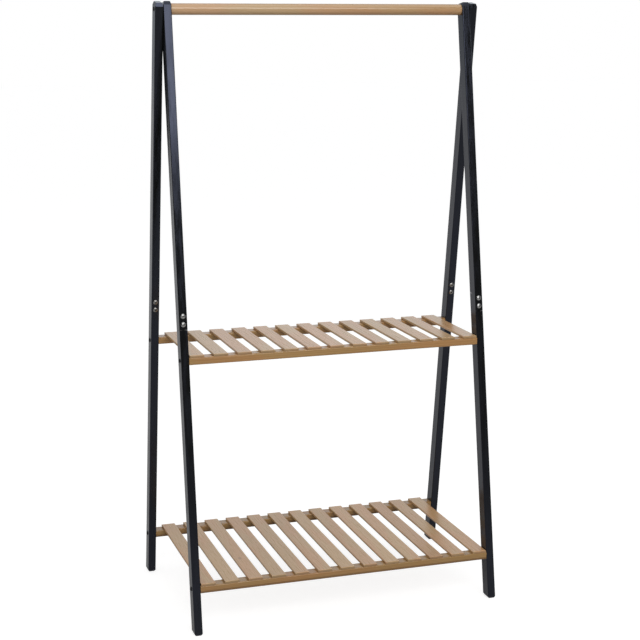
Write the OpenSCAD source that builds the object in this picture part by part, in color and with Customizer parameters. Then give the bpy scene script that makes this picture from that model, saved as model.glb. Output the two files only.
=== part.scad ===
// Wooden A-frame clothes rack: two crossed pairs of black legs, a round hanging rod at the
// crossing and two slatted shelves. Millimetres, +Z up, +X along the rod, front towards -Y.
// The origin is on the floor, under the middle of the rack.

/* [Frame] */
// Width over the outer faces of the rear legs
rack_w = 826; // [600:1:1200]
// Height of the hanging rod's axis, where front and rear legs cross
rod_z = 1478; // [1200:1:1700]
// Distance between the centre lines of front and rear legs on the floor
foot_spread = 453; // [340:1:600]

/* [Legs] */
// Thickness of a leg, along the rod
leg_t = 20; // [18:0.5:26]
// Width of a leg, seen from the side
leg_w = 33; // [29:0.5:40]
// Rounding of a leg's long edges
leg_round = 2; // [1:0.5:4]
// Length of leg above the rod's axis
leg_top = 17; // [14:1:30]
// Width of the bevel round a leg's top end
top_bevel_w = 3; // [1:0.5:4]
// Length of the bevel round a leg's top end
top_bevel_l = 9; // [4:0.5:12]
// Width of the bevel round a foot
foot_bevel_w = 3.5; // [1:0.5:5]
// Height of the bevel round a foot
foot_bevel_h = 5; // [2:0.5:10]

/* [Lap joints] */
// Distance up a leg from the upper rail's bolt to the middle of the lap joint
lap_rise = 96.5; // [60:0.5:140]
// Length of the halved overlap
lap_l = 46; // [42:1:60]
// Gap left at the two shoulders of a lap joint
lap_gap = 0.6; // [0.3:0.1:1.5]
// Distance between the two bolts of a lap joint
lap_pitch = 20; // [18:0.5:22]

/* [Hanging rod] */
// Diameter of the hanging rod
rod_d = 27.5; // [24:0.5:34]

/* [Shelf rails] */
// Height of the upper rails' undersides above the floor
upper_rail_z = 642; // [560:1:720]
// Height of the lower rails' undersides above the floor
lower_rail_z = 100; // [60:1:300]
// Height of a rail
rail_h = 18; // [16:0.5:24]
// Depth of a rail, front to rear
rail_w = 32; // [28:0.5:36]
// Rounding of a rail's long edges
rail_round = 3; // [1:0.5:5]

/* [Slats] */
// Number of slats on a shelf
slat_count = 13; // [7:1:14]
// Gap between the end slats and the front legs
slat_end_gap = 1.5; // [1:0.5:12]
// Width of a slat
slat_w = 35.5; // [30:0.5:44]
// Thickness of a slat
slat_t = 5.5; // [5:0.5:10]
// Rounding of a slat's long edges
slat_round = 1; // [0.5:0.5:2]
// Rounding of the upper edge at a slat's ends
slat_end_round = 2; // [1:0.5:3]
// Distance from a rail's outer face back to the slats' ends
slat_set_back = 0.5; // [0:0.5:8]

/* [Bolts] */
// Shank diameter of the bolts in the rails and lap joints
bolt_d = 6; // [5:0.5:6.5]
// Shank diameter of the two bolts in the hanging rod
rod_bolt_d = 8; // [6:0.5:9]
// Head diameter of the bolts and sleeve nuts
head_d = 12; // [10:0.5:14]
// Height of a domed head
head_h = 2.6; // [2:0.1:4]
// Width across the flats of the hexagon socket in a head
socket_w = 4; // [3:0.5:5]
// Depth of that socket
socket_depth = 1.8; // [1:0.1:1.9]
// Outer diameter of a sleeve nut's barrel
sleeve_d = 8; // [7.5:0.5:9]
// Length of a sleeve nut's barrel
sleeve_l = 24; // [18:0.5:26]
// How far a lap bolt reaches into its sleeve nut
sleeve_grip = 14; // [8:0.5:16]
// Radial clearance between a fastener and its hole
bolt_gap = 0.05; // [0.02:0.01:0.1]

/* [Nuts and inserts] */
// How far a rail bolt reaches into the rail
rail_bolt_reach = 40; // [34:1:60]
// Distance from a rail's end to the axis of its barrel nut
nut_inset = 30; // [26:1:32]
// Diameter of a barrel nut
nut_d = 10; // [9:0.5:11]
// Length of a barrel nut
nut_l = 14; // [10:0.5:15]
// How far a rod bolt reaches into the rod
rod_bolt_reach = 45; // [30:1:80]
// Outer diameter of the threaded insert in the rod's end
insert_d = 13; // [11:0.5:16]
// Length of the threaded insert
insert_l = 25; // [15:1:29]

/* [Slat screws] */
// Shank diameter of a slat screw
screw_d = 3; // [2.5:0.5:4]
// Head diameter of a slat screw
screw_head_d = 6.4; // [5:0.1:7]
// Height of that head, sunk into the rail's underside
screw_head_h = 2; // [1.5:0.1:3]
// How far a slat screw reaches into the slat
screw_grip = 4; // [2.5:0.5:4.5]
// Distance from the middle of a rail to its slat screws, towards the inside of the shelf
screw_offset = 8; // [7:0.5:9]

/* [Hidden] */
$fn = 48;
slat_numbers = [for (i = [1:slat_count]) i];

// Sides of the rack, as signs of X and Y
left = -1;
right = 1;
front = -1;
rear = 1;
sides = [left, right];
ends = [front, rear];

// Lean of every leg, and the half widths that follow from it
lean = atan(foot_spread / 2 / rod_z);
half_w = leg_w / 2;
half_t = leg_t / 2;
level_half_w = half_w / cos(lean);
// Length of a leg from the rod's axis to well below the floor
leg_reach = rod_z / cos(lean) + leg_w;
// Anything longer than the rack is deep, for cuts that pass right through
through = 2 * leg_w + foot_spread;

// Middle heights of the upper and lower rails
upper_bolt_z = upper_rail_z + rail_h / 2;
lower_bolt_z = lower_rail_z + rail_h / 2;
// Distance from the rod's axis down a leg to the middle of its lap joint
lap_s = (rod_z - upper_bolt_z) / cos(lean) - lap_rise;

paint = [0.11, 0.11, 0.12];
rod_wood = [0.80, 0.66, 0.50];
rail_wood = [0.66, 0.50, 0.33];
upper_wood = [0.76, 0.67, 0.58];
lower_wood = [0.69, 0.58, 0.47];
bright_steel = [0.75, 0.75, 0.76];
dark_steel = [0.16, 0.16, 0.17];

// Outer X of the front legs is inboard of the rear legs by one leg's thickness
function leg_outer_x(end) = rack_w / 2 - (end == front ? leg_t : 0);
function leg_inner_x(end) = leg_outer_x(end) - leg_t;
// Distance from the rack's middle plane to a leg's centre line, at a height above the floor
function leg_y(z) = (rod_z - z) * tan(lean);
// Distance from the rack's middle plane to a rail's outer face, flush with the legs
function rail_outer_y(bolt_z) = leg_y(bolt_z) + level_half_w;
function rail_mid_y(bolt_z) = rail_outer_y(bolt_z) - rail_w / 2;
// Slats share the clear width between the front legs evenly
function slat_pitch() = (2 * leg_inner_x(front) - 2 * slat_end_gap - slat_w) / (slat_count - 1);
function slat_x(i) = (i - (slat_count + 1) / 2) * slat_pitch();
// Height of the floor in a leg's own frame, at a distance towards the rack's inside
function floor_s(inward) = inward * tan(lean) - rod_z / cos(lean);

// Rectangle with exact round corners
module rounded_rect(w, h, r) {
    square([w - 2 * r, h], center = true);
    square([w, h - 2 * r], center = true);
    for (x = [-1, 1], y = [-1, 1])
        translate([x * (w / 2 - r), y * (h / 2 - r)]) circle(r = r);
}

// Puts a piece that is drawn along a front leg, with the rod's axis at its origin, on any leg
module on_leg(side, end) {
    translate([side * (leg_outer_x(end) - half_t), 0, rod_z])
        mirror([0, end == rear ? 1 : 0, 0])
            rotate([-lean, 0, 0])
                children();
}

// Lays a profile that is drawn in side view (Y, Z) across a thickness along X
module across(t) {
    rotate([90, 0, 90]) linear_extrude(t, center = true) children();
}

// Whole leg seen from the side: square and bevelled at the top, cut level and bevelled at the foot
module leg_side() {
    polygon([
        [-half_w, leg_top - top_bevel_l],
        [-half_w + top_bevel_w, leg_top],
        [half_w - top_bevel_w, leg_top],
        [half_w, leg_top - top_bevel_l],
        [half_w, floor_s(half_w) + foot_bevel_h],
        [half_w - foot_bevel_w, floor_s(half_w - foot_bevel_w)],
        [-half_w + foot_bevel_w, floor_s(-half_w + foot_bevel_w)],
        [-half_w, floor_s(-half_w) + foot_bevel_h]
    ]);
}

// Bevels on the two broad faces at the top end, seen along the leg's width
module top_front() {
    polygon([
        [-half_t, -leg_reach],
        [-half_t, leg_top - top_bevel_l],
        [-half_t + top_bevel_w, leg_top],
        [half_t - top_bevel_w, leg_top],
        [half_t, leg_top - top_bevel_l],
        [half_t, -leg_reach]
    ]);
}

// Bevels on the two broad faces at the foot, seen from the front with the floor at zero
module foot_front() {
    polygon([
        [-half_t + foot_bevel_w, 0],
        [-half_t, foot_bevel_h],
        [-half_t, rod_z + leg_w],
        [half_t, rod_z + leg_w],
        [half_t, foot_bevel_h],
        [half_t - foot_bevel_w, 0]
    ]);
}

// Side view of what one half of a leg keeps at the lap joint: the front half of the width
// goes down with the upper piece, the rear half goes up with the lower piece
module lap_side(shift, far_s) {
    polygon([
        [-leg_w, -lap_s - lap_l / 2 + shift],
        [0, -lap_s - lap_l / 2 + shift],
        [0, -lap_s + lap_l / 2 + shift],
        [leg_w, -lap_s + lap_l / 2 + shift],
        [leg_w, far_s],
        [-leg_w, far_s]
    ]);
}

module leg_piece(shift, far_s) {
    intersection() {
        across(leg_t) intersection() {
            leg_side();
            lap_side(shift, far_s);
        }
        translate([0, 0, -leg_reach])
            linear_extrude(leg_reach + leg_top) rounded_rect(leg_t, leg_w, leg_round);
        rotate([90, 0, 0]) linear_extrude(leg_w, center = true) top_front();
        rotate([lean, 0, 0]) translate([0, 0, -rod_z])
            rotate([90, 0, 0]) linear_extrude(through, center = true) foot_front();
    }
}

// Places its children at both bolts of a lap joint, along the leg's width
module at_lap_bolts() {
    for (s = [-1, 1])
        translate([0, 0, -lap_s + s * lap_pitch / 2]) rotate([90, 0, 0]) children();
}

module lap_holes() {
    at_lap_bolts() cylinder(h = 2 * leg_w, d = sleeve_d + 2 * bolt_gap, center = true);
}

module upper_leg(side, end) {
    color(paint) difference() {
        on_leg(side, end) difference() {
            leg_piece(lap_gap / 2, leg_top + leg_w);
            lap_holes();
        }
        translate([0, 0, rod_z]) rotate([0, 90, 0])
            cylinder(h = 2 * rack_w, d = rod_bolt_d + 2 * bolt_gap, center = true);
    }
}

module lower_leg(side, end) {
    color(paint) difference() {
        on_leg(side, end) difference() {
            leg_piece(-lap_gap / 2, -leg_reach);
            lap_holes();
        }
        for (z = [upper_bolt_z, lower_bolt_z])
            translate([0, end * rail_mid_y(z), z]) rotate([0, 90, 0])
                cylinder(h = 2 * rack_w, d = bolt_d + 2 * bolt_gap, center = true);
    }
}

module hanging_rod() {
    rod_l = 2 * leg_inner_x(front);
    color(rod_wood) translate([0, 0, rod_z]) rotate([0, 90, 0]) difference() {
        cylinder(h = rod_l, d = rod_d, center = true);
        for (side = sides) {
            translate([0, 0, side * rod_l / 2])
                cylinder(h = 2 * (rod_bolt_reach + 1), d = rod_bolt_d + 2 * bolt_gap, center = true);
            translate([0, 0, side * rod_l / 2])
                cylinder(h = 2 * insert_l, d = insert_d + 2 * bolt_gap, center = true);
        }
    }
}

// Rail between two legs, bored for its bolts, barrel nuts and slat screws
module rail(end, rail_z) {
    bolt_z = rail_z + rail_h / 2;
    rail_l = 2 * leg_inner_x(end);
    color(rail_wood) translate([0, end * rail_mid_y(bolt_z), bolt_z]) difference() {
        across(rail_l) rounded_rect(rail_w, rail_h, rail_round);
        for (side = sides) translate([side * rail_l / 2, 0, 0]) {
            rotate([0, 90, 0])
                cylinder(h = 2 * (rail_bolt_reach + 1), d = bolt_d + 2 * bolt_gap, center = true);
            translate([-side * nut_inset, 0, -rail_h])
                cylinder(h = rail_h + nut_l / 2 + bolt_gap, d = nut_d + 2 * bolt_gap);
        }
        for (i = slat_numbers)
            translate([slat_x(i), -end * screw_offset, 0]) {
                cylinder(h = 2 * rail_h, d = screw_d + 2 * bolt_gap, center = true);
                translate([0, 0, -rail_h / 2])
                    cylinder(h = 2 * screw_head_h, d = screw_head_d + 2 * bolt_gap, center = true);
            }
    }
}

// Slat laid front to rear on both rails, with blind holes for its two screws
module slat(i, rail_z) {
    bolt_z = rail_z + rail_h / 2;
    slat_l = 2 * (rail_outer_y(bolt_z) - slat_set_back);
    translate([slat_x(i), 0, rail_z + rail_h]) difference() {
        intersection() {
            translate([0, 0, slat_t / 2]) rotate([90, 0, 0])
                linear_extrude(slat_l, center = true) rounded_rect(slat_w, slat_t, slat_round);
            across(slat_w) slat_side(slat_l);
        }
        for (end = ends)
            translate([0, end * (rail_mid_y(bolt_z) - screw_offset), 0])
                cylinder(h = 2 * screw_grip, d = screw_d + 2 * bolt_gap, center = true);
    }
}

// Side view of a slat: flat below, its upper end edges rounded over
module slat_side(slat_l) {
    r = slat_end_round;
    translate([-slat_l / 2, 0]) square([slat_l, slat_t - r]);
    translate([-slat_l / 2 + r, 0]) square([slat_l - 2 * r, slat_t]);
    for (y = [-1, 1]) translate([y * (slat_l / 2 - r), slat_t - r]) circle(r = r);
}

module upper_slat(i) {
    color(upper_wood) slat(i, upper_rail_z);
}

module lower_slat(i) {
    color(lower_wood) slat(i, lower_rail_z);
}

// Domed head with a hexagon socket, its flat underside at zero and its crown upwards
module domed_head() {
    dome_r = (head_d * head_d / 4 + head_h * head_h) / (2 * head_h);
    difference() {
        intersection() {
            cylinder(h = head_h, d = head_d);
            translate([0, 0, head_h - dome_r]) sphere(r = dome_r, $fn = 96);
        }
        translate([0, 0, head_h - socket_depth])
            cylinder(h = 2 * socket_depth, d = socket_w / cos(30), $fn = 6);
    }
}

// Bolt with its head's underside at zero and its shank pointing down
module bolt(d, l) {
    domed_head();
    translate([0, 0, -l]) cylinder(h = l + (head_h - socket_depth) / 2, d = d);
}

// Threaded sleeve with the same domed head, its barrel pointing down
module sleeve_nut() {
    domed_head();
    difference() {
        translate([0, 0, -sleeve_l]) cylinder(h = sleeve_l, d = sleeve_d);
        translate([0, 0, -sleeve_l - 1])
            cylinder(h = sleeve_l + 1 - head_h, d = bolt_d + 2 * bolt_gap);
    }
}

// Bolt heads on the outward faces, tightened into sleeve nuts on the inward faces
module lap_bolts() {
    bolt_l = leg_w - sleeve_l + sleeve_grip;
    color(bright_steel) for (side = sides, end = ends)
        on_leg(side, end) at_lap_bolts() translate([0, 0, half_w]) bolt(bolt_d, bolt_l);
}

module lap_sleeve_nuts() {
    color(bright_steel) for (side = sides, end = ends)
        on_leg(side, end) at_lap_bolts() translate([0, 0, -half_w]) mirror([0, 0, 1]) sleeve_nut();
}

// Places its children on the outer face of a leg, pointing outwards along X
module on_outer_face(side, end, y, z) {
    translate([side * leg_outer_x(end), y, z]) rotate([0, side * 90, 0]) children();
}

module rail_bolts() {
    color(dark_steel) for (side = sides, end = ends, z = [upper_bolt_z, lower_bolt_z])
        on_outer_face(side, end, end * rail_mid_y(z), z) bolt(bolt_d, leg_t + rail_bolt_reach);
}

module rail_barrel_nuts() {
    color(bright_steel) for (side = sides, end = ends, z = [upper_bolt_z, lower_bolt_z])
        translate([side * (leg_inner_x(end) - nut_inset), end * rail_mid_y(z), z]) difference() {
            cylinder(h = nut_l, d = nut_d, center = true);
            rotate([0, 90, 0]) cylinder(h = 2 * nut_d, d = bolt_d + 2 * bolt_gap, center = true);
        }
}

// Each rod bolt holds a rear leg, a front leg and the rod together
module rod_bolts() {
    color(dark_steel) for (side = sides)
        on_outer_face(side, rear, 0, rod_z) bolt(rod_bolt_d, 2 * leg_t + rod_bolt_reach);
}

module rod_inserts() {
    color(bright_steel) for (side = sides)
        translate([side * (leg_inner_x(front) - insert_l / 2), 0, rod_z]) rotate([0, 90, 0])
            difference() {
                cylinder(h = insert_l, d = insert_d, center = true);
                cylinder(h = 2 * insert_l, d = rod_bolt_d + 2 * bolt_gap, center = true);
            }
}

// Screws from below, their heads sunk flush in the rail's underside
module slat_screws(rail_z) {
    bolt_z = rail_z + rail_h / 2;
    color(bright_steel) for (i = slat_numbers, end = ends)
        translate([slat_x(i), end * (rail_mid_y(bolt_z) - screw_offset), rail_z]) {
            cylinder(h = rail_h + screw_grip, d = screw_d);
            cylinder(h = screw_head_h, d = screw_head_d);
        }
}

upper_leg(left, front);  // front_left_upper_leg
lower_leg(left, front);  // front_left_lower_leg
upper_leg(right, front);  // front_right_upper_leg
lower_leg(right, front);  // front_right_lower_leg
upper_leg(left, rear);  // rear_left_upper_leg
lower_leg(left, rear);  // rear_left_lower_leg
upper_leg(right, rear);  // rear_right_upper_leg
lower_leg(right, rear);  // rear_right_lower_leg
hanging_rod();
rail(front, upper_rail_z);  // upper_front_rail
rail(rear, upper_rail_z);  // upper_rear_rail
rail(front, lower_rail_z);  // lower_front_rail
rail(rear, lower_rail_z);  // lower_rear_rail
for (i = slat_numbers)
    upper_slat(i);
for (i = slat_numbers)
    lower_slat(i);
lap_bolts();
lap_sleeve_nuts();
rail_bolts();
rail_barrel_nuts();
rod_bolts();
rod_inserts();
slat_screws(upper_rail_z);  // upper_slat_screws
slat_screws(lower_rail_z);  // lower_slat_screws
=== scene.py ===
from math import atan2, cos, pi, radians, sin

import bpy
from mathutils import Matrix, Vector


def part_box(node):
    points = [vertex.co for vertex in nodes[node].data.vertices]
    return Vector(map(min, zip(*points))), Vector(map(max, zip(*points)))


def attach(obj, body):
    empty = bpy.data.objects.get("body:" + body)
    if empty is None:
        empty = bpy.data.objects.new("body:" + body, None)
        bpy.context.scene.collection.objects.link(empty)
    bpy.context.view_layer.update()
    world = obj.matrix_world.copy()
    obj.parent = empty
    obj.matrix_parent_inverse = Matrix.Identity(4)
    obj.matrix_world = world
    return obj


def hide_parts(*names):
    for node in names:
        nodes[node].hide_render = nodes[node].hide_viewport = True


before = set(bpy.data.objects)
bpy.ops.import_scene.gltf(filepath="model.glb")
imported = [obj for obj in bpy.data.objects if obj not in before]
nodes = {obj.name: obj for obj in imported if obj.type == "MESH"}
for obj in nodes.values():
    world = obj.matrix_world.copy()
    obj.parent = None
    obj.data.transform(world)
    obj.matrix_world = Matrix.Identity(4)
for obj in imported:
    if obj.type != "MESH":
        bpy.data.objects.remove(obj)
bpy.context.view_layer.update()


# The camera stands in front of the rack and left of its middle, just under the height of the
# hanging rod. It looks down a little, and a small lens shift keeps the rack upright in the frame.
image_px = 640
focal_px = 1484.1
lens_centre_y_px = 285.0
camera_place = (-1.1476, -3.5169, 1.4516)
camera_turn_right = 0.31568
camera_tilt_down = 0.17646
camera_data = bpy.data.cameras.new("camera")
camera_data.sensor_width = 36.0
camera_data.lens = focal_px / image_px * camera_data.sensor_width
camera_data.shift_y = (lens_centre_y_px - image_px / 2) / image_px
camera = bpy.data.objects.new("camera", camera_data)
camera.location = camera_place
aim = Matrix.Rotation(-camera_turn_right, 3, "Z")
aim = aim @ Matrix.Rotation(pi / 2 - camera_tilt_down, 3, "X")
camera.rotation_euler = aim.to_euler()
bpy.context.scene.collection.objects.link(camera)
bpy.context.scene.camera = camera


# Eight leg pieces, planed from hardwood stock 33 by 20 mm and sprayed with satin black lacquer.
# The grain stands through the film as fine ridges along the leg, and the film is a little
# uneven in gloss. A leg is one upper and one lower piece in a bolted half-lap joint.
def add_shader_node(tree, kind, inputs, **settings):
    """Places a shader node, sets its properties, and fills or links its inputs.

    Inputs go by name, or by number where names repeat: a Mix node blends values 2 and 3, or
    colours 6 and 7, by its input 0.
    """
    made = tree.nodes.new("ShaderNode" + kind)
    for name, value in settings.items():
        setattr(made, name, value)
    for name, value in inputs.items():
        if isinstance(value, bpy.types.NodeSocket):
            tree.links.new(value, made.inputs[name])
        else:
            made.inputs[name].default_value = value
    return made


def new_finish(name):
    """An empty material, its node tree, and the shader that its surface ends in."""
    made = bpy.data.materials.new(name)
    made.use_nodes = True
    shader = made.node_tree.nodes["Principled BSDF"]
    return made, made.node_tree, shader


def wear(piece, finish):
    """Gives a piece one finish all over."""
    piece.data.materials.clear()
    piece.data.materials.append(finish)


foot_spread = 0.453
rod_low, rod_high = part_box("hanging_rod")
rod_axis_z = (rod_low.z + rod_high.z) / 2
leg_lean = atan2(foot_spread / 2, rod_axis_z)
upper_low, upper_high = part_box("front_left_upper_leg")
lower_low, lower_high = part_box("front_left_lower_leg")
lap_z = (upper_low.z + lower_high.z) / 2
lap_from_rod = (rod_axis_z - lap_z) / cos(leg_lean)
lap_half_length = 0.023
lacquer_black = (0.0055, 0.0055, 0.0045, 1)
# The seam colour is partly thin film over the edges and partly a painted highlight.
seam_edge_and_highlight = (0.15, 0.145, 0.135, 1)
seam_half_width = 0.0007
rear_seam_strength = 0.12
lacquer, tree, shader = new_finish("black_lacquer")
place = add_shader_node(tree, "TexCoord", {})
sides = add_shader_node(tree, "SeparateXYZ", {0: place.outputs["Object"]})
folded_y = add_shader_node(tree, "Math", {0: sides.outputs["Y"]}, operation="ABSOLUTE")
folded = add_shader_node(tree, "CombineXYZ", {"X": sides.outputs["X"], "Y": folded_y.outputs[0],
                                              "Z": sides.outputs["Z"]})
from_rod = add_shader_node(tree, "VectorMath", {0: folded.outputs[0], 1: (0, 0, rod_axis_z)},
                           operation="SUBTRACT")
leg_frame = add_shader_node(tree, "Mapping", {"Vector": from_rod.outputs[0],
                                              "Rotation": (-leg_lean, 0, 0)})
grain_place = add_shader_node(tree, "Mapping", {"Vector": leg_frame.outputs[0],
                                                "Scale": (900, 900, 18)})
ridges = add_shader_node(tree, "TexNoise", {"Vector": grain_place.outputs[0], "Scale": 1.0,
                                            "Detail": 3.0, "Roughness": 0.6})
film = add_shader_node(tree, "Bump", {"Height": ridges.outputs["Fac"], "Strength": 0.15,
                                      "Distance": 0.0002})
cloud_place = add_shader_node(tree, "Mapping", {"Vector": leg_frame.outputs[0],
                                                "Scale": (150, 150, 18)})
cloud = add_shader_node(tree, "TexNoise", {"Vector": cloud_place.outputs[0], "Scale": 1.0,
                                           "Detail": 3.0})
gloss = add_shader_node(tree, "MapRange", {"Value": cloud.outputs["Fac"], "From Min": 0.35,
                                           "From Max": 0.65, "To Min": 0.13, "To Max": 0.27})

# The shoulders of the lap joint show as fine light lines: thin film over the sharp edges, with a
# painted highlight along them. The lines are broken by noise, weaker on the rear legs, and on the
# right legs kept to faces turned to -X.
leg_axes = add_shader_node(tree, "SeparateXYZ", {0: leg_frame.outputs[0]})
outward_half = add_shader_node(tree, "Math", {0: leg_axes.outputs["Y"], 1: 0.0},
                               operation="GREATER_THAN")
shoulder = add_shader_node(tree, "MapRange", {"Value": outward_half.outputs[0],
                                              "To Min": -lap_from_rod + lap_half_length,
                                              "To Max": -lap_from_rod - lap_half_length})
off_seam = add_shader_node(tree, "Math", {0: leg_axes.outputs["Z"], 1: shoulder.outputs[0]},
                           operation="SUBTRACT")
off_seam = add_shader_node(tree, "Math", {0: off_seam.outputs[0]}, operation="ABSOLUTE")
seam = add_shader_node(tree, "Math", {0: off_seam.outputs[0], 1: seam_half_width},
                       operation="LESS_THAN")
seam_breaks = add_shader_node(tree, "TexNoise", {"Vector": place.outputs["Object"], "Scale": 90.0,
                                           "Detail": 1.0})
seam_showing = add_shader_node(tree, "MapRange", {"Value": seam_breaks.outputs["Fac"], "From Min": 0.30,
                                             "From Max": 0.44, "To Min": 0.10, "To Max": 1.0})
way_faced = add_shader_node(tree, "SeparateXYZ", {0: place.outputs["Normal"]})
left_face = add_shader_node(tree, "Math", {0: way_faced.outputs["X"], 1: -0.7},
                            operation="MULTIPLY", use_clamp=True)
right_leg = add_shader_node(tree, "Math", {0: sides.outputs["X"], 1: 0.0},
                            operation="GREATER_THAN")
seam_showing = add_shader_node(tree, "Mix", {0: right_leg.outputs[0], 2: seam_showing.outputs[0],
                                        3: left_face.outputs[0]}, data_type="FLOAT")
front_leg = add_shader_node(tree, "MapRange", {"Value": sides.outputs["Y"], "From Min": -0.05,
                                               "From Max": 0.05, "To Min": 1.0,
                                               "To Max": rear_seam_strength})
seam_showing = add_shader_node(tree, "Math", {0: seam_showing.outputs[0], 1: front_leg.outputs[0]},
                          operation="MULTIPLY")
seam = add_shader_node(tree, "Math", {0: seam.outputs[0], 1: seam_showing.outputs[0]},
                       operation="MULTIPLY")
painted = add_shader_node(tree, "Mix", {0: seam.outputs[0], 6: lacquer_black, 7: seam_edge_and_highlight},
                          data_type="RGBA")
tree.links.new(painted.outputs[2], shader.inputs["Base Color"])
tree.links.new(gloss.outputs[0], shader.inputs["Roughness"])
tree.links.new(film.outputs[0], shader.inputs["Normal"])
cool_sheen = (0.62, 0.69, 1.0, 1)
shader.inputs["Specular Tint"].default_value = cool_sheen
for name, node in nodes.items():
    if name.endswith("_leg"):
        wear(node, lacquer)


# The hanging rod, a plain round bar of pale wood, bolted at both ends between the inner faces of
# the front legs. Its varnish is glossier than the shelves'. Its colour is painted lighter and bluer
# at the left end and darker and browner at the right end, as painted light and shade.
def make_wood_group():
    """Plain wood: rings round a distant heart, drawn out along the grain, with short fibres."""
    group = bpy.data.node_groups.new("varnished_wood", "ShaderNodeTree")
    face = group.interface
    face.new_socket("Grain Vector", in_out="INPUT", socket_type="NodeSocketVector")
    face.new_socket("Pale", in_out="INPUT", socket_type="NodeSocketColor")
    face.new_socket("Dark", in_out="INPUT", socket_type="NodeSocketColor")
    face.new_socket("Ring Width", in_out="INPUT", socket_type="NodeSocketFloat")
    face.new_socket("Figure", in_out="INPUT", socket_type="NodeSocketFloat")
    face.new_socket("Tone", in_out="INPUT", socket_type="NodeSocketFloat")
    face.new_socket("Blush", in_out="INPUT", socket_type="NodeSocketFloat")
    face.new_socket("Color", in_out="OUTPUT", socket_type="NodeSocketColor")
    face.new_socket("Roughness", in_out="OUTPUT", socket_type="NodeSocketFloat")
    face.new_socket("Height", in_out="OUTPUT", socket_type="NodeSocketFloat")
    given = group.nodes.new("NodeGroupInput")
    out = group.nodes.new("NodeGroupOutput")
    link = group.links.new
    grain = given.outputs["Grain Vector"]

    slow = add_shader_node(group, "Mapping", {"Vector": grain, "Scale": (9, 1.4, 9)})
    wander = add_shader_node(group, "TexNoise", {"Vector": slow.outputs[0], "Scale": 1.0,
                                                 "Detail": 2.0})
    centred = add_shader_node(group, "VectorMath", {0: wander.outputs["Color"],
                                                    1: (0.5, 0.5, 0.5)}, operation="SUBTRACT")
    pushed = add_shader_node(group, "VectorMath", {0: centred.outputs[0], 1: (0.02, 0.0, 0.02),
                                                   2: grain}, operation="MULTIPLY_ADD")
    flat = add_shader_node(group, "VectorMath", {0: pushed.outputs[0], 1: (1, 0, 1)},
                           operation="MULTIPLY")
    radius = add_shader_node(group, "VectorMath", {0: flat.outputs[0]}, operation="LENGTH")
    turns = add_shader_node(group, "Math", {0: radius.outputs["Value"],
                                            1: given.outputs["Ring Width"]}, operation="DIVIDE")
    ring = add_shader_node(group, "Math", {0: turns.outputs[0]}, operation="FRACT")
    late = add_shader_node(group, "ValToRGB", {"Fac": ring.outputs[0]})
    stops = late.color_ramp.elements
    stops[0].position, stops[0].color = 0.0, (0.25, 0.25, 0.25, 1)
    stops[1].position, stops[1].color = 1.0, (0.3, 0.3, 0.3, 1)
    for position, value in ((0.18, 0.0), (0.62, 0.28), (0.88, 1.0)):
        stop = stops.new(position)
        stop.color = (value, value, value, 1)

    fine = add_shader_node(group, "Mapping", {"Vector": grain, "Scale": (1300, 14, 1300)})
    fibre = add_shader_node(group, "TexNoise", {"Vector": fine.outputs[0], "Scale": 1.0,
                                                "Detail": 2.0})
    broad = add_shader_node(group, "Mapping", {"Vector": grain, "Scale": (210, 5, 210)})
    streak = add_shader_node(group, "TexNoise", {"Vector": broad.outputs[0], "Scale": 1.0,
                                                 "Detail": 3.0})
    by_ring = add_shader_node(group, "Math", {0: late.outputs["Color"],
                                              1: given.outputs["Figure"]}, operation="MULTIPLY")
    by_streak = add_shader_node(group, "MapRange", {"Value": streak.outputs["Fac"],
                                                    "From Min": 0.3, "From Max": 0.75,
                                                    "To Min": 0.0, "To Max": 0.26})
    by_fibre = add_shader_node(group, "MapRange", {"Value": fibre.outputs["Fac"],
                                                   "From Min": 0.5, "From Max": 0.8,
                                                   "To Min": 0.0, "To Max": 0.12})
    darkness = add_shader_node(group, "Math", {0: by_ring.outputs[0], 1: by_streak.outputs[0]},
                               operation="ADD")
    darkness = add_shader_node(group, "Math", {0: darkness.outputs[0], 1: by_fibre.outputs[0]},
                               operation="ADD", use_clamp=True)
    mixed = add_shader_node(group, "Mix", {0: darkness.outputs[0]}, data_type="RGBA")
    link(given.outputs["Pale"], mixed.inputs[6])
    link(given.outputs["Dark"], mixed.inputs[7])
    toned = add_shader_node(group, "HueSaturation", {"Color": mixed.outputs[2],
                                                     "Value": given.outputs["Tone"]})

    yellower = (0.98, 1.025, 1.02, 1)
    pinker = (1.03, 0.965, 0.96, 1)
    patch_place = add_shader_node(group, "Mapping", {"Vector": grain, "Scale": (26, 5, 26)})
    patches = add_shader_node(group, "TexNoise", {"Vector": patch_place.outputs[0], "Scale": 1.0,
                                                  "Detail": 2.0})
    leaning = add_shader_node(group, "Math", {0: patches.outputs["Fac"],
                                              1: given.outputs["Blush"]}, operation="ADD")
    pinkness = add_shader_node(group, "MapRange", {"Value": leaning.outputs[0], "From Min": 0.40,
                                                   "From Max": 0.60},
                               interpolation_type="SMOOTHSTEP")
    tint = add_shader_node(group, "Mix", {0: pinkness.outputs[0], 6: yellower, 7: pinker},
                           data_type="RGBA")
    tinted = add_shader_node(group, "VectorMath", {0: toned.outputs[0], 1: tint.outputs[2]},
                             operation="MULTIPLY")
    link(tinted.outputs[0], out.inputs["Color"])

    rough = add_shader_node(group, "MapRange", {"Value": fibre.outputs["Fac"], "From Min": 0.3,
                                                "From Max": 0.7, "To Min": 0.24, "To Max": 0.36})
    link(rough.outputs[0], out.inputs["Roughness"])
    height = add_shader_node(group, "Math", {0: fibre.outputs["Fac"], 1: 0.6,
                                             2: late.outputs["Color"]},
                             operation="MULTIPLY_ADD")
    link(height.outputs[0], out.inputs["Height"])
    return group


wood_group = make_wood_group()
between_shelves_z = 0.4


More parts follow.
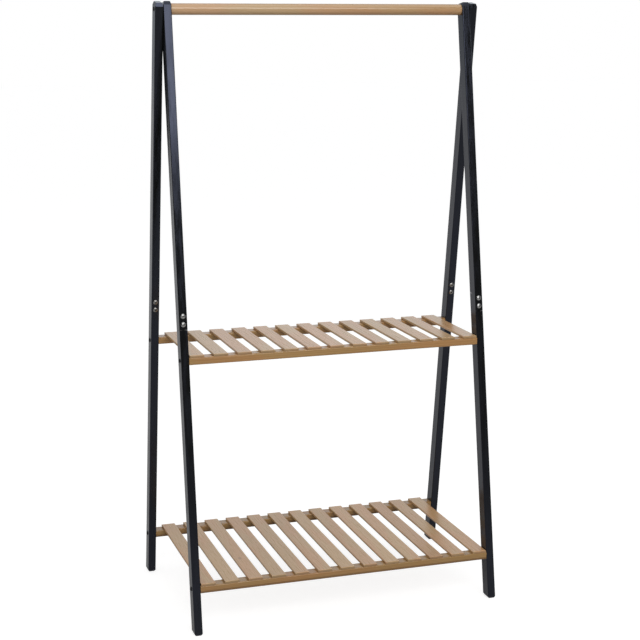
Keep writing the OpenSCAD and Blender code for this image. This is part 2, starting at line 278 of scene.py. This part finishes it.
def varnished(name, grain_turn, end_axis, heart, pale, dark, ring_width, figure, spread,
              low_shelf_shade, polish):
    """A wood finish for like pieces.

    grain_turn lays the grain along the piece, end_axis is the axis its ends face, and heart is
    where the log's heart is. Pieces spread apart along X take their own cut and tone. The lower
    shelf is darkened by a given factor, as painted shade, and a polish below 1 is a glossier
    varnish.
    """
    finish, tree, shader = new_finish(name)
    place = add_shader_node(tree, "TexCoord", {})
    axes = add_shader_node(tree, "SeparateXYZ", {0: place.outputs["Object"]})
    steps = add_shader_node(tree, "Math", {0: axes.outputs["X"], 1: spread}, operation="DIVIDE")
    number = add_shader_node(tree, "Math", {0: steps.outputs[0]}, operation="ROUND")
    level = add_shader_node(tree, "Math", {0: axes.outputs["Z"], 1: between_shelves_z},
                            operation="GREATER_THAN")
    key = add_shader_node(tree, "Math", {0: level.outputs[0], 1: 31.0, 2: number.outputs[0]},
                          operation="MULTIPLY_ADD")
    luck = add_shader_node(tree, "TexWhiteNoise", {"W": key.outputs[0]}, noise_dimensions="1D")
    shift = add_shader_node(tree, "VectorMath", {0: luck.outputs["Color"], 1: (0.06, 2.0, 0.09),
                                                 2: place.outputs["Object"]},
                            operation="MULTIPLY_ADD")
    cut = add_shader_node(tree, "Mapping", {"Vector": shift.outputs[0], "Rotation": grain_turn,
                                            "Location": heart})
    tone = add_shader_node(tree, "MapRange", {"Value": luck.outputs["Value"], "To Min": 0.93,
                                              "To Max": 1.06})
    way_faced = add_shader_node(tree, "SeparateXYZ", {0: place.outputs["Normal"]})
    end_face = add_shader_node(tree, "Math", {0: way_faced.outputs[end_axis]},
                               operation="ABSOLUTE")
    end_grain = add_shader_node(tree, "MapRange", {"Value": end_face.outputs[0], "From Min": 0.6,
                                                   "From Max": 0.95, "To Min": 1.0,
                                                   "To Max": 0.64})
    tone = add_shader_node(tree, "Math", {0: tone.outputs[0], 1: end_grain.outputs[0]},
                           operation="MULTIPLY")
    # Painted shade: pieces below between_shelves_z are darkened by the lower-shelf factor.
    low_shelf_shading = add_shader_node(tree, "MapRange", {"Value": level.outputs[0],
                                                    "To Min": low_shelf_shade, "To Max": 1.0})
    tone = add_shader_node(tree, "Math", {0: tone.outputs[0], 1: low_shelf_shading.outputs[0]},
                           operation="MULTIPLY")
    draws = add_shader_node(tree, "SeparateXYZ", {0: luck.outputs["Color"]})
    blush = add_shader_node(tree, "MapRange", {"Value": draws.outputs["Y"], "To Min": -0.10,
                                               "To Max": 0.10})
    wood = tree.nodes.new("ShaderNodeGroup")
    wood.node_tree = wood_group
    tree.links.new(cut.outputs[0], wood.inputs["Grain Vector"])
    tree.links.new(tone.outputs[0], wood.inputs["Tone"])
    tree.links.new(blush.outputs[0], wood.inputs["Blush"])
    wood.inputs["Pale"].default_value = (*pale, 1)
    wood.inputs["Dark"].default_value = (*dark, 1)
    wood.inputs["Ring Width"].default_value = ring_width
    wood.inputs["Figure"].default_value = figure
    tree.links.new(wood.outputs["Color"], shader.inputs["Base Color"])
    gloss = add_shader_node(tree, "Math", {0: wood.outputs["Roughness"], 1: polish},
                            operation="MULTIPLY")
    tree.links.new(gloss.outputs[0], shader.inputs["Roughness"])
    bump = add_shader_node(tree, "Bump", {"Height": wood.outputs["Height"], "Strength": 0.15,
                                          "Distance": 0.0001})
    tree.links.new(bump.outputs[0], shader.inputs["Normal"])
    return finish


def stain_over(finish, amount, overlay_colour):
    """Lays a colour over a wood finish's colour, as strong as a mask says: the knot's real stain
    and the rails' painted shade.
    """
    tree = finish.node_tree
    shader = tree.nodes["Principled BSDF"]
    plain = shader.inputs["Base Color"].links[0].from_socket
    overlaid = add_shader_node(tree, "Mix", {0: amount, 6: plain, 7: overlay_colour}, data_type="RGBA")
    tree.links.new(overlaid.outputs[2], shader.inputs["Base Color"])


along_x = (0, 0, radians(90))
rod_finish = varnished("rod_wood", grain_turn=along_x, end_axis="X", heart=(0.02, 0, -1.44),
                       pale=(0.442, 0.287, 0.158), dark=(0.32, 0.187, 0.085), ring_width=0.004,
                       figure=0.45, spread=5.0, low_shelf_shade=1.0, polish=0.55)
# Painted light and shade along the rod: a lighter, bluer left end and a darker, browner right end.
left_end_painted_light = (1.03, 1.06, 1.09, 1)
right_end_painted_shade = (0.94, 0.88, 0.80, 1)
tree = rod_finish.node_tree
shader = tree.nodes["Principled BSDF"]
place = add_shader_node(tree, "TexCoord", {})
along_rod = add_shader_node(tree, "SeparateXYZ", {0: place.outputs["Object"]})
painted_light_falloff = add_shader_node(tree, "MapRange", {"Value": along_rod.outputs["X"], "From Min": -0.30,
                                             "From Max": 0.30}, interpolation_type="SMOOTHSTEP")
end_light_and_shade = add_shader_node(tree, "Mix", {0: painted_light_falloff.outputs[0], 6: left_end_painted_light, 7: right_end_painted_shade},
                      data_type="RGBA")
plain = shader.inputs["Base Color"].links[0].from_socket
lit_and_shaded_rod = add_shader_node(tree, "VectorMath", {0: plain, 1: end_light_and_shade.outputs[2]},
                          operation="MULTIPLY")
tree.links.new(lit_and_shaded_rod.outputs[0], shader.inputs["Base Color"])
wear(nodes["hanging_rod"], rod_finish)


# Four shelf rails, planed 32 by 18 mm with rounded edges, of a browner wood than the slats. Each
# is bolted between a pair of legs. The lower two have painted shade along their lower edges.
rail_finish = varnished("rail_wood", grain_turn=along_x, end_axis="X", heart=(0.05, 0, 0.06),
                        pale=(0.355, 0.202, 0.076), dark=(0.238, 0.123, 0.038),
                        ring_width=0.0035, figure=0.5, spread=5.0, low_shelf_shade=0.92, polish=0.8)
# Painted shade: a dark brown laid over the lowest few millimetres of the lower rails.
edge_shade_full_z = 0.1045
edge_shade_end_z = 0.1085
edge_shade_strength = 0.55
painted_edge_shade = (0.10, 0.045, 0.016, 1)
tree = rail_finish.node_tree
place = add_shader_node(tree, "TexCoord", {})
axes = add_shader_node(tree, "SeparateXYZ", {0: place.outputs["Object"]})
shaded_low_edge = add_shader_node(tree, "MapRange", {"Value": axes.outputs["Z"],
                                              "From Min": edge_shade_full_z, "From Max": edge_shade_end_z,
                                              "To Min": edge_shade_strength, "To Max": 0.0},
                           interpolation_type="SMOOTHSTEP")
stain_over(rail_finish, shaded_low_edge.outputs[0], painted_edge_shade)
for name, node in nodes.items():
    if name.endswith("_rail"):
        wear(node, rail_finish)


# Thirteen slats to a shelf, thin boards laid across the rails from front to rear and screwed down
# from below. Each has a tone and a tint of its own, and one of the lower ones has a small knot.
along_y = (0, 0, 0)
slat_pitch = 0.05896
slat_finish = varnished("slat_wood", grain_turn=along_y, end_axis="Y", heart=(0.03, 0, 0.05),
                        pale=(0.497, 0.309, 0.151), dark=(0.361, 0.207, 0.090),
                        ring_width=0.0035, figure=0.24, spread=slat_pitch, low_shelf_shade=0.98,
                        polish=1.0)
knot_centre = (-0.2385, -0.0849, 0.1225)
knot_strength = 0.55
knot_brown = (0.16, 0.075, 0.032, 1)
tree = slat_finish.node_tree
place = add_shader_node(tree, "TexCoord", {})
knot_place = add_shader_node(tree, "VectorMath", {0: place.outputs["Object"], 1: knot_centre},
                             operation="SUBTRACT")
knot_shape = add_shader_node(tree, "VectorMath", {0: knot_place.outputs[0], 1: (240, 130, 240)},
                             operation="MULTIPLY")
knot_reach = add_shader_node(tree, "VectorMath", {0: knot_shape.outputs[0]}, operation="LENGTH")
knot = add_shader_node(tree, "MapRange", {"Value": knot_reach.outputs["Value"], "From Min": 0.3,
                                          "From Max": 1.6, "To Min": knot_strength,
                                          "To Max": 0.0}, interpolation_type="SMOOTHSTEP")
stain_over(slat_finish, knot.outputs[0], knot_brown)
for name, node in nodes.items():
    if "_slat_" in name and "screws" not in name:
        wear(node, slat_finish)


# Sixteen machine fasteners close the four half-lap joints. A nickel-plated M6 bolt comes in from
# the leg's outward face and is tightened, by the hexagon socket in its low domed head, into a
# sleeve nut with the same head on the inward face. Both heads sit flat on the lacquer.
def turn_piece(name, outline, sides):
    """A closed turned piece, from a disc extruded ring by ring along (radius, height) points."""
    bpy.ops.object.select_all(action="DESELECT")
    bpy.ops.mesh.primitive_circle_add(vertices=sides, radius=outline[0][0], fill_type="NGON",
                                      location=(0, 0, outline[0][1]))
    piece = bpy.context.object
    piece.name = name
    bpy.ops.object.transform_apply(location=True, rotation=True, scale=True)
    bpy.ops.object.mode_set(mode="EDIT")
    bpy.ops.mesh.select_all(action="SELECT")
    for (old_r, old_z), (new_r, new_z) in zip(outline, outline[1:]):
        bpy.ops.mesh.extrude_region_move(TRANSFORM_OT_translate={"value": (0, 0, new_z - old_z)})
        bpy.ops.transform.resize(value=(new_r / old_r, new_r / old_r, 1))
    bpy.ops.mesh.select_all(action="SELECT")
    bpy.ops.mesh.normals_make_consistent(inside=False)
    bpy.ops.object.mode_set(mode="OBJECT")
    return piece


def cut_away(piece, cutter):
    """Cuts one piece by the shape of another, which is used up."""
    cut = piece.modifiers.new("cut", "BOOLEAN")
    cut.operation = "DIFFERENCE"
    cut.solver = "EXACT"
    cut.object = cutter
    bpy.ops.object.select_all(action="DESELECT")
    piece.select_set(True)
    bpy.context.view_layer.objects.active = piece
    bpy.ops.object.modifier_apply(modifier=cut.name)
    bpy.data.objects.remove(cutter)


edge_break = 0.00012
smooth_angle = radians(32)


def soften(piece):
    """Breaks the sharp edges of a finished piece and smooths what is round."""
    edge = piece.modifiers.new("broken_edges", "BEVEL")
    edge.width = edge_break
    edge.segments = 2
    edge.limit_method = "ANGLE"
    edge.angle_limit = radians(40)
    bpy.ops.object.select_all(action="DESELECT")
    piece.select_set(True)
    bpy.context.view_layer.objects.active = piece
    bpy.ops.object.modifier_apply(modifier=edge.name)
    bpy.ops.object.shade_smooth_by_angle(angle=smooth_angle)


def fit_copies(pattern, name, places, finish, node):
    """Copies a fastener to each of its places and joins the copies in one piece."""
    wear(pattern, finish)
    copies = []
    for place in places:
        fitted = pattern.copy()
        fitted.data = pattern.data.copy()
        bpy.context.scene.collection.objects.link(fitted)
        fitted.matrix_world = place
        copies.append(fitted)
    bpy.data.objects.remove(pattern)
    bpy.ops.object.select_all(action="DESELECT")
    for fitted in copies:
        fitted.select_set(True)
    bpy.context.view_layer.objects.active = copies[0]
    bpy.ops.object.join()
    bpy.ops.object.transform_apply(location=True, rotation=True, scale=True)
    piece = bpy.context.object
    piece.name = name
    piece.data.name = name
    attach(piece, "root")
    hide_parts(node)


def facing(point, direction, turn):
    """Where a piece goes that stands at a point, with its +Z along a direction."""
    aim = Vector(direction).to_track_quat("Z", "Y").to_matrix().to_4x4()
    return Matrix.Translation(point) @ aim @ Matrix.Rotation(turn, 4, "Z")


head_r = 0.006
head_h = 0.0026
head_rim = 0.0003
socket_w = 0.004
socket_depth = 0.0018
dome_steps = 9


def domed_head():
    """Outline of a low domed head above its flat underside, up to a small flat crown."""
    cap_h = head_h - head_rim
    dome_r = (head_r ** 2 + cap_h ** 2) / (2 * cap_h)
    rim_angle = atan2(head_r, dome_r - cap_h)
    points = [(head_r, 0.0), (head_r, head_rim)]
    for step in range(1, dome_steps):
        angle = rim_angle * (1 - step / dome_steps)
        points.append((dome_r * sin(angle), head_h - dome_r * (1 - cos(angle))))
    return points


def threads(radius, depth, pitch, low, high):
    """Outline of the thread crests and roots between two heights, going up."""
    points = []
    for i in range(round((high - low) / pitch)):
        root_z = low + (i + 0.25) * pitch
        points.append((radius - depth, root_z))
        points.append((radius, root_z + pitch / 2))
    return points


def cut_socket(piece):
    """Sinks the hexagon socket into a domed head."""
    bpy.ops.object.select_all(action="DESELECT")
    bpy.ops.mesh.primitive_cylinder_add(vertices=6, radius=socket_w / 2 / cos(radians(30)),
                                        depth=2 * socket_depth, location=(0, 0, head_h))
    cut_away(piece, bpy.context.object)


def mark_recess(piece):
    """Marks the faces inside the hexagon socket, which are given painted shade."""
    side_slack = 0.0002
    floor_slack = 0.0001
    rim_slack = 0.0003
    mark = piece.data.attributes.new("socket_shade", "FLOAT", "FACE")
    for face in piece.data.polygons:
        across = face.center.xy.length < socket_w / 2 + side_slack
        sunk = head_h - socket_depth - floor_slack < face.center.z < head_h - rim_slack
        mark.data[face.index].value = 1.0 if across and sunk else 0.0


def machine_bolt(name, radius, length, threaded, pitch):
    """Domed socket bolt with its head's underside at zero and its shank pointing down."""
    tip = 0.0006
    thread_depth = 0.6 * pitch
    outline = [(radius - tip, -length), (radius, -length + tip)]
    outline += threads(radius, thread_depth, pitch, -length + tip, -length + threaded)
    outline += [(radius, -length + threaded + pitch / 2), (radius, 0.0)]
    outline += domed_head()
    piece = turn_piece(name, outline, 48)
    cut_socket(piece)
    soften(piece)
    mark_recess(piece)
    return piece


def sooty(tree, clean, shade_colour):
    """Darkens a metal's colour inside its marked sockets, as painted shade."""
    socket_shade = add_shader_node(tree, "Attribute", {}, attribute_name="socket_shade")
    return add_shader_node(tree, "Mix", {0: socket_shade.outputs["Fac"], 6: clean, 7: shade_colour},
                           data_type="RGBA")


# Painted shade: a near-black colour laid inside the hexagon sockets.
painted_socket_shade = (0.06, 0.055, 0.05, 1)


def plated(name, colour, smoothest, roughest):
    """Nickel plate of a given colour, a little uneven in polish, with painted shade down in the
    sockets.
    """
    finish, tree, shader = new_finish(name)
    place = add_shader_node(tree, "TexCoord", {})
    wear_marks = add_shader_node(tree, "TexNoise", {"Vector": place.outputs["Object"],
                                                    "Scale": 700.0, "Detail": 3.0})
    polish = add_shader_node(tree, "MapRange", {"Value": wear_marks.outputs["Fac"],
                                                "From Min": 0.3, "From Max": 0.7,
                                                "To Min": smoothest, "To Max": roughest})
    tree.links.new(polish.outputs[0], shader.inputs["Roughness"])
    plating = sooty(tree, colour, painted_socket_shade)
    tree.links.new(plating.outputs[2], shader.inputs["Base Color"])
    shader.inputs["Metallic"].default_value = 1.0
    return finish


bright_nickel = plated("nickel_plate_bright", colour=(0.38, 0.38, 0.37, 1), smoothest=0.26,
                       roughest=0.36)
# The sleeve nuts take a darker, rougher nickel than the bolts; their heads face front on the rear
# legs and read dimmer there.
satin_nickel = plated("nickel_plate_satin", colour=(0.29, 0.28, 0.265, 1), smoothest=0.32,
                      roughest=0.45)

leg_t = 0.020
leg_w = 0.033
lap_pitch = 0.020
inner_leg_x = rod_high.x + leg_t / 2
outer_leg_x = inner_leg_x + leg_t
lap_bolt_places = []
sleeve_nut_places = []
for side in (-1, 1):
    for end, leg_x in ((-1, inner_leg_x), (1, outer_leg_x)):
        outwards = Vector((0, end * cos(leg_lean), sin(leg_lean)))
        down_leg = Vector((0, end * sin(leg_lean), -cos(leg_lean)))
        for step in (-0.5, 0.5):
            centre = Vector((side * leg_x, 0, rod_axis_z))
            centre += down_leg * (lap_from_rod + step * lap_pitch)
            turn = radians(17 + 23 * side + 11 * end + 31 * step)
            lap_bolt_places.append(facing(centre + outwards * leg_w / 2, outwards, turn))
            sleeve_nut_places.append(facing(centre - outwards * leg_w / 2, -outwards, turn))
m6_r = 0.003
m6_pitch = 0.001
sleeve_r = 0.004
sleeve_l = 0.024
lap_grip = 0.014
lap_bolt = machine_bolt("lap_bolt", m6_r, length=leg_w - sleeve_l + lap_grip, threaded=lap_grip,
                        pitch=m6_pitch)
fit_copies(lap_bolt, "lap_bolt_set", lap_bolt_places, bright_nickel, "lap_bolts")

bore_r = 0.00305
bore_top = -0.0026
sleeve_chamfer = 0.0003
sleeve_outline = [(bore_r, bore_top), (bore_r, -sleeve_l)]
sleeve_outline += [(sleeve_r - sleeve_chamfer, -sleeve_l), (sleeve_r, -sleeve_l + sleeve_chamfer)]
sleeve_outline += [(sleeve_r, 0.0)]
sleeve_outline += domed_head()
sleeve_nut = turn_piece("sleeve_nut", sleeve_outline, 48)
cut_socket(sleeve_nut)
soften(sleeve_nut)
mark_recess(sleeve_nut)
fit_copies(sleeve_nut, "sleeve_nut_set", sleeve_nut_places, satin_nickel,
           "lap_sleeve_nuts")


# Eight black-oxide M6 bolts hold the four rails. Each comes through a leg from outside, into the
# end of a rail, and is drawn tight in a steel barrel nut in a blind hole in the rail's underside.
black_steel, tree, shader = new_finish("black_steel")
place = add_shader_node(tree, "TexCoord", {})
oxide = add_shader_node(tree, "TexNoise", {"Vector": place.outputs["Object"], "Scale": 500.0,
                                           "Detail": 3.0})
dullness = add_shader_node(tree, "MapRange", {"Value": oxide.outputs["Fac"], "From Min": 0.3,
                                              "From Max": 0.7, "To Min": 0.30, "To Max": 0.48})
tree.links.new(dullness.outputs[0], shader.inputs["Roughness"])
shader.inputs["Base Color"].default_value = (0.035, 0.035, 0.037, 1)
shader.inputs["Metallic"].default_value = 1.0

rail_nut_inset = 0.030
rail_bolt_places = []
barrel_nut_places = []
for rail_name in ("upper_front_rail", "upper_rear_rail", "lower_front_rail", "lower_rear_rail"):
    rail_low, rail_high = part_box(rail_name)
    rail_y = (rail_low.y + rail_high.y) / 2
    rail_z = (rail_low.z + rail_high.z) / 2
    for side in (-1, 1):
        turn = radians(13 + 400 * rail_y + 29 * side)
        head_place = (side * (rail_high.x + leg_t), rail_y, rail_z)
        nut_place = (side * (rail_high.x - rail_nut_inset), rail_y, rail_z)
        rail_bolt_places.append(facing(head_place, (side, 0, 0), turn))
        barrel_nut_places.append(Matrix.Translation(nut_place))
rail_bolt_reach = 0.040
rail_bolt_thread = 0.020
rail_bolt = machine_bolt("rail_bolt", m6_r, length=leg_t + rail_bolt_reach,
                         threaded=rail_bolt_thread, pitch=m6_pitch)
fit_copies(rail_bolt, "rail_bolt_set", rail_bolt_places, black_steel, "rail_bolts")

zinc, tree, shader = new_finish("zinc_steel")
place = add_shader_node(tree, "TexCoord", {})
spangle = add_shader_node(tree, "TexNoise", {"Vector": place.outputs["Object"], "Scale": 600.0,
                                             "Detail": 2.0})
matt = add_shader_node(tree, "MapRange", {"Value": spangle.outputs["Fac"], "From Min": 0.3,
                                          "From Max": 0.7, "To Min": 0.30, "To Max": 0.45})
tree.links.new(matt.outputs[0], shader.inputs["Roughness"])
shader.inputs["Base Color"].default_value = (0.56, 0.57, 0.58, 1)
shader.inputs["Metallic"].default_value = 1.0


def cut_bar(piece, size, place):
    """Cuts a straight slot of a given size into a piece."""
    bpy.ops.object.select_all(action="DESELECT")
    bpy.ops.mesh.primitive_cube_add(size=1.0, location=place)
    bar = bpy.context.object
    bpy.ops.transform.resize(value=size)
    cut_away(piece, bar)


barrel_r = 0.005
barrel_half_l = 0.007
barrel_chamfer = 0.0004
through = 0.03
driver_slot_w = 0.0014
driver_slot_depth = 0.0014
barrel_nut = turn_piece("barrel_nut", [(barrel_r - barrel_chamfer, -barrel_half_l),
                                       (barrel_r, -barrel_half_l + barrel_chamfer),
                                       (barrel_r, barrel_half_l - barrel_chamfer),
                                       (barrel_r - barrel_chamfer, barrel_half_l)], 40)
bpy.ops.object.select_all(action="DESELECT")
bpy.ops.mesh.primitive_cylinder_add(vertices=32, radius=bore_r, depth=through,
                                    rotation=(0, pi / 2, 0))
cut_away(barrel_nut, bpy.context.object)
cut_bar(barrel_nut, (through, driver_slot_w, 2 * driver_slot_depth), (0, 0, -barrel_half_l))
soften(barrel_nut)
fit_copies(barrel_nut, "barrel_nut_set", barrel_nut_places, zinc, "rail_barrel_nuts")


# Two long black M8 bolts carry the hanging rod. Each passes through the crossed tops of a rear and
# a front leg, along the rod's axis, into a zinc-plated insert that is screwed into the rod's end.
rod_bolt_places = []
insert_places = []
insert_l = 0.025
for side in (-1, 1):
    outside = (side * (rod_high.x + 2 * leg_t), 0, rod_axis_z)
    rod_bolt_places.append(facing(outside, (side, 0, 0), radians(40 - 25 * side)))
    insert_places.append(facing((side * (rod_high.x - insert_l), 0, rod_axis_z), (side, 0, 0), 0.0))
m8_r = 0.004
m8_pitch = 0.00125
rod_bolt_reach = 0.045
rod_bolt_thread = 0.040
rod_bolt = machine_bolt("rod_bolt", m8_r, length=2 * leg_t + rod_bolt_reach,
                        threaded=rod_bolt_thread, pitch=m8_pitch)
fit_copies(rod_bolt, "rod_bolt_set", rod_bolt_places, black_steel, "rod_bolts")

insert_r = 0.0065
insert_chamfer = 0.001
insert_thread_depth = 0.001
insert_pitch = 0.0025
insert_collar = 0.0015
insert_thread_low = 0.0015
insert_thread_high = insert_l - 0.002
insert_outline = [(insert_r - insert_chamfer, 0.0), (insert_r, insert_chamfer)]
insert_outline += threads(insert_r, insert_thread_depth, insert_pitch, insert_thread_low,
                          insert_thread_high)
insert_outline += [(insert_r, insert_l - insert_collar), (insert_r, insert_l)]
rod_insert = turn_piece("rod_insert", insert_outline, 40)
bpy.ops.object.select_all(action="DESELECT")
insert_bore_r = 0.00405
bpy.ops.mesh.primitive_cylinder_add(vertices=32, radius=insert_bore_r, depth=3.2 * insert_l)
cut_away(rod_insert, bpy.context.object)
soften(rod_insert)
fit_copies(rod_insert, "rod_insert_set", insert_places, zinc, "rod_inserts")


# Each slat is held by two zinc-plated countersunk screws, driven up through the rails from below,
# so that no head shows on the shelf. The heads lie flush in the rails' undersides.
screw_r = 0.0015
screw_head_r = 0.0032
screw_head_h = 0.0020
screw_rim = 0.0002
screw_thread_low = 0.0060
screw_thread_high = 0.0200
screw_tip_low = 0.0206
screw_tip_high = 0.0219
screw_thread_depth = 0.0004
screw_pitch = 0.0014
screw_outline = [(screw_head_r - screw_rim, 0.0), (screw_head_r, screw_rim)]
screw_outline += [(screw_r, screw_head_h), (screw_r, screw_thread_low)]
screw_outline += threads(screw_r, screw_thread_depth, screw_pitch, screw_thread_low,
                         screw_thread_high)
screw_outline += [(screw_r - 0.0003, screw_tip_low), (0.0002, screw_tip_high)]
slat_screw = turn_piece("slat_screw", screw_outline, 20)
recess_l = 0.0034
recess_w = 0.0007
recess_depth = 0.0012
cut_bar(slat_screw, (recess_l, recess_w, 2 * recess_depth), (0, 0, 0))
cut_bar(slat_screw, (recess_w, recess_l, 2 * recess_depth), (0, 0, 0))
bpy.ops.object.select_all(action="DESELECT")
slat_screw.select_set(True)
bpy.context.view_layer.objects.active = slat_screw
bpy.ops.object.shade_smooth_by_angle(angle=smooth_angle)
screw_inset = 0.008
for level in ("upper", "lower"):
    screw_places = []
    for end, inwards in (("_front_rail", 1), ("_rear_rail", -1)):
        rail_low, rail_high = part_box(level + end)
        screw_y = (rail_low.y + rail_high.y) / 2 + inwards * screw_inset
        for number in range(1, 14):
            slat_low, slat_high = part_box(level + "_slat_" + str(number))
            screw_x = (slat_low.x + slat_high.x) / 2
            turn = Matrix.Rotation(radians(37 * number + 19 * inwards), 4, "Z")
            screw_places.append(Matrix.Translation((screw_x, screw_y, rail_low.z)) @ turn)
    pattern = slat_screw.copy()
    pattern.data = slat_screw.data.copy()
    fit_copies(pattern, level + "_slat_screw_set", screw_places, zinc,
               level + "_slat_screws")
bpy.data.objects.remove(slat_screw)


# Pale studio floor: white to the camera and in far reflections, and a matt grey to the light, so
# that it keeps the rack's shadow. Behind the rack the surroundings are white, in front of it they
# are the dim side of the room, and soft panels hang there and overhead.
floor_w = 60.0
floor_glow = 0.79
bpy.ops.object.select_all(action="DESELECT")
bpy.ops.mesh.primitive_plane_add(size=floor_w, location=(0, 0, 0))
floor = bpy.context.object
floor.name = "studio_floor"
pale, tree, shader = new_finish("studio_floor")
shader.inputs["Roughness"].default_value = 0.9
shader.inputs["Specular IOR Level"].default_value = 0.1
path = add_shader_node(tree, "LightPath", {})
ground = add_shader_node(tree, "TexCoord", {})
axes = add_shader_node(tree, "SeparateXYZ", {0: ground.outputs["Object"]})
near_back = add_shader_node(tree, "MapRange", {"Value": axes.outputs["Y"], "From Min": -2.5,
                                               "From Max": 5.0, "To Min": 0.05, "To Max": 0.47},
                            interpolation_type="SMOOTHSTEP")
left_of_rack = add_shader_node(tree, "MapRange", {"Value": axes.outputs["X"], "From Min": -0.55,
                                                  "From Max": -0.42, "To Min": 0.80, "To Max": 1.0},
                               interpolation_type="SMOOTHSTEP")
close_by = add_shader_node(tree, "MapRange", {"Value": axes.outputs["Y"], "From Min": 2.5,
                                              "From Max": 4.5, "To Max": 1.0,
                                              "To Min": left_of_rack.outputs[0]},
                           interpolation_type="SMOOTHSTEP")
near_back = add_shader_node(tree, "Math", {0: near_back.outputs[0], 1: close_by.outputs[0]},
                            operation="MULTIPLY")
mirrored = add_shader_node(tree, "Mix", {0: path.outputs["Is Glossy Ray"], 2: 1.0,
                                         3: near_back.outputs[0]}, data_type="FLOAT")
cover = add_shader_node(tree, "Mix", {0: path.outputs["Is Camera Ray"],
                                      6: (0.44, 0.44, 0.44, 1), 7: (0.36, 0.36, 0.36, 1)},
                        data_type="RGBA")
tree.links.new(cover.outputs[2], shader.inputs["Base Color"])
seen = add_shader_node(tree, "Math", {0: path.outputs["Is Camera Ray"],
                                      1: path.outputs["Is Glossy Ray"]}, operation="MAXIMUM")
seen = add_shader_node(tree, "Math", {0: seen.outputs[0], 1: path.outputs["Is Transmission Ray"]},
                       operation="MAXIMUM")
lift = add_shader_node(tree, "Math", {0: seen.outputs[0], 1: floor_glow}, operation="MULTIPLY")
lift = add_shader_node(tree, "Math", {0: lift.outputs[0], 1: mirrored.outputs[0]},
                       operation="MULTIPLY")
shader.inputs["Emission Color"].default_value = (1, 1, 1, 1)
tree.links.new(lift.outputs[0], shader.inputs["Emission Strength"])
wear(floor, pale)

world = bpy.data.worlds.new("studio")
bpy.context.scene.world = world
world.use_nodes = True
tree = world.node_tree
background = tree.nodes["Background"]
path = add_shader_node(tree, "LightPath", {})
direction = add_shader_node(tree, "TexCoord", {})
axes = add_shader_node(tree, "SeparateXYZ", {0: direction.outputs["Generated"]})
to_right = add_shader_node(tree, "MapRange", {"Value": axes.outputs["X"], "From Min": -0.2,
                                              "From Max": 0.25, "To Min": 0.42, "To Max": 1.0},
                           interpolation_type="SMOOTHSTEP")
behind = add_shader_node(tree, "MapRange", {"Value": axes.outputs["Y"], "From Min": -0.35,
                                            "From Max": 0.2, "To Min": 0.05,
                                            "To Max": to_right.outputs[0]},
                         interpolation_type="SMOOTHSTEP")
low_down = add_shader_node(tree, "MapRange", {"Value": axes.outputs["Z"], "From Min": 0.22,
                                              "From Max": 0.36, "To Min": 1.08, "To Max": 0.80},
                           interpolation_type="SMOOTHSTEP")
backdrop = add_shader_node(tree, "Math", {0: behind.outputs[0], 1: low_down.outputs[0]},
                           operation="MULTIPLY")
fill = add_shader_node(tree, "MapRange", {"Value": axes.outputs["Z"], "To Min": 0.78,
                                          "To Max": 0.44})
glossy = add_shader_node(tree, "Mix", {0: path.outputs["Is Glossy Ray"], 2: fill.outputs[0],
                                       3: backdrop.outputs[0]}, data_type="FLOAT")
seen = add_shader_node(tree, "Math", {0: path.outputs["Is Camera Ray"],
                                      1: path.outputs["Is Transmission Ray"]}, operation="MAXIMUM")
strength = add_shader_node(tree, "Mix", {0: seen.outputs[0], 2: glossy.outputs[0], 3: 1.0},
                           data_type="FLOAT")
cool = add_shader_node(tree, "Mix", {0: path.outputs["Is Glossy Ray"], 6: (1, 1, 1, 1),
                                     7: (0.94, 1.0, 1.07, 1)}, data_type="RGBA")
tree.links.new(cool.outputs[2], background.inputs["Color"])
tree.links.new(strength.outputs[0], background.inputs["Strength"])


def hang_softbox(name, centre, aim_at, width, height, radiance, only_in_gloss=False):
    """A soft panel that lights the rack, or only its gloss, and isn't itself in the picture."""
    panel_data = bpy.data.lights.new(name, "AREA")
    panel_data.shape = "RECTANGLE"
    panel_data.size = width
    panel_data.size_y = height
    panel_data.energy = radiance * pi * width * height
    panel = bpy.data.objects.new(name, panel_data)
    panel.visible_camera = False
    panel.visible_diffuse = not only_in_gloss
    panel.location = centre
    panel.rotation_euler = (Vector(centre) - Vector(aim_at)).to_track_quat("Z", "Y").to_euler()
    bpy.context.scene.collection.objects.link(panel)


hang_softbox("front_softbox", centre=(-0.20, -3.50, 2.77), aim_at=(-0.20, 0, 0.9), width=3.75,
             height=1.75, radiance=4.4)
hang_softbox("ceiling_softbox", centre=(0.0, -1.2, 3.6), aim_at=(0, -1.1, 0.0), width=3.2,
             height=3.6, radiance=0.4)
hang_softbox("ceiling_sheen", centre=(0.0, -1.2, 3.62), aim_at=(0, -1.1, 0.0), width=3.2,
             height=3.6, radiance=1.2, only_in_gloss=True)

bpy.context.scene.view_settings.view_transform = "Standard"
